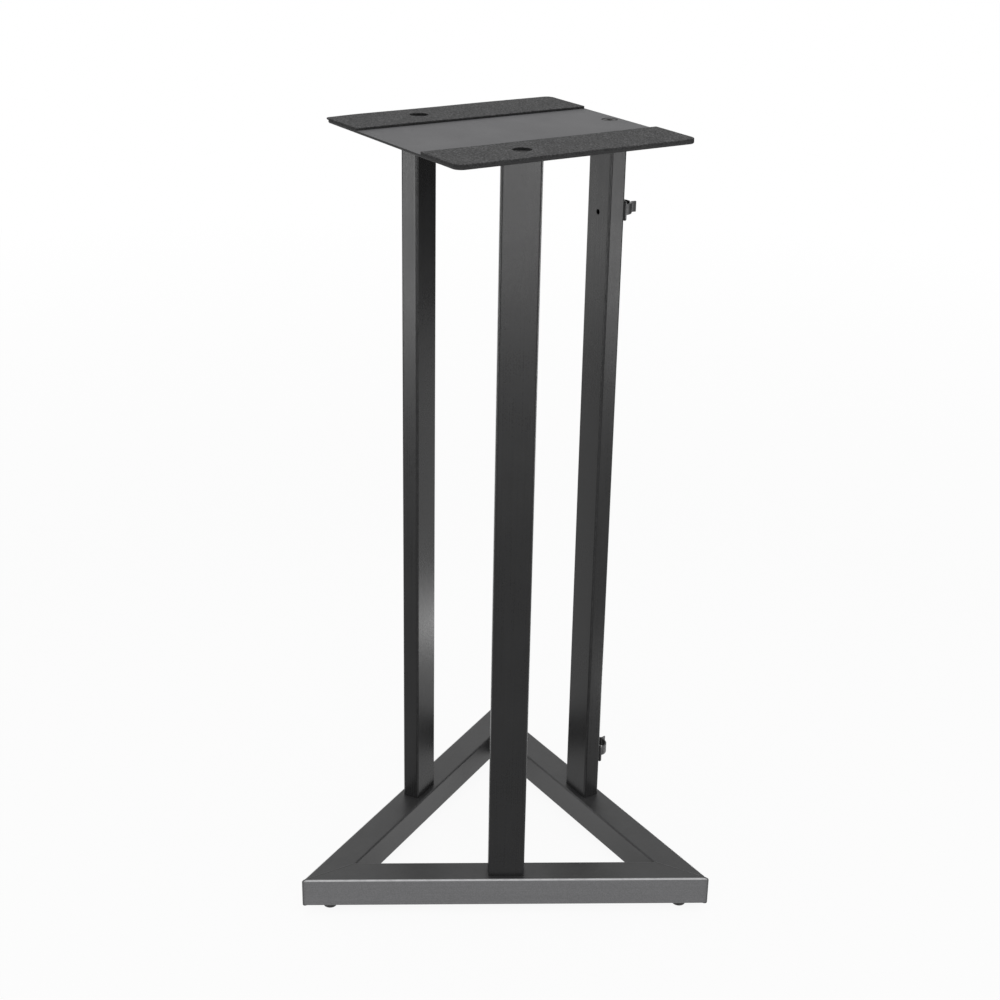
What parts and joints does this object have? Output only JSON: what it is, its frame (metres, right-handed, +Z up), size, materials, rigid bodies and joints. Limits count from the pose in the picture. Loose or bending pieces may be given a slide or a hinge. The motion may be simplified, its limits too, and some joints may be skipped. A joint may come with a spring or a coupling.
{
  "type": "speaker stand",
  "caption": "Floor stand with a mitred triangular tube base, upright flat tubes, a padded rectangular top plate and cable clips up the rear upright.",
  "frame": {"origin": "on the floor, under the middle of the stand's bounding box: midway across the base, and midway between the front corner of the base and the tips of the cable clips", "axes": "+Z up along the upright tubes, +X along the rear rail of the base to the right seen from the front corner, +Y towards the rear rail and the cable clips; the front corner of the base points along -Y"},
  "size_m": [0.4288, 0.389, 0.8095],
  "materials": {
    "black_steel": "satin black powder coat",
    "black_fastener": "black oxide, lightly oiled",
    "zinc_steel": "bright zinc plate",
    "pad_rubber": "matte black closed-cell rubber",
    "foot_rubber": "matte black moulded rubber",
    "clip_plastic": "satin dark grey moulded plastic",
    "foam_tape": "dark foam tape with a cut edge"
  },
  "bodies": {
    "root": {"base_rail_rear": "black_steel", "post_rear": "black_steel", "post_rear_top_plug": "zinc_steel", "post_rear_bottom_plug": "zinc_steel", "plate_screw_rear": "black_fastener", "base_bolt_rear": "black_fastener", "base_washer_rear": "zinc_steel", "foot_rear_right": "foot_rubber", "clip_tape_upper": "foam_tape", "cable_clip_upper": "clip_plastic", "clip_tape_lower": "foam_tape", "cable_clip_lower": "clip_plastic", "base_rail_right": "black_steel", "post_right": "black_steel", "post_right_top_plug": "zinc_steel", "post_right_bottom_plug": "zinc_steel", "plate_screw_right": "black_fastener", "base_bolt_right": "black_fastener", "base_washer_right": "zinc_steel", "foot_front": "foot_rubber", "base_rail_left": "black_steel", "post_left": "black_steel", "post_left_top_plug": "zinc_steel", "post_left_bottom_plug": "zinc_steel", "plate_screw_left": "black_fastener", "base_bolt_left": "black_fastener", "base_washer_left": "zinc_steel", "foot_rear_left": "foot_rubber", "top_plate": "black_steel", "pad_right": "pad_rubber", "pad_left": "pad_rubber"}
  },
  "joints": []
}
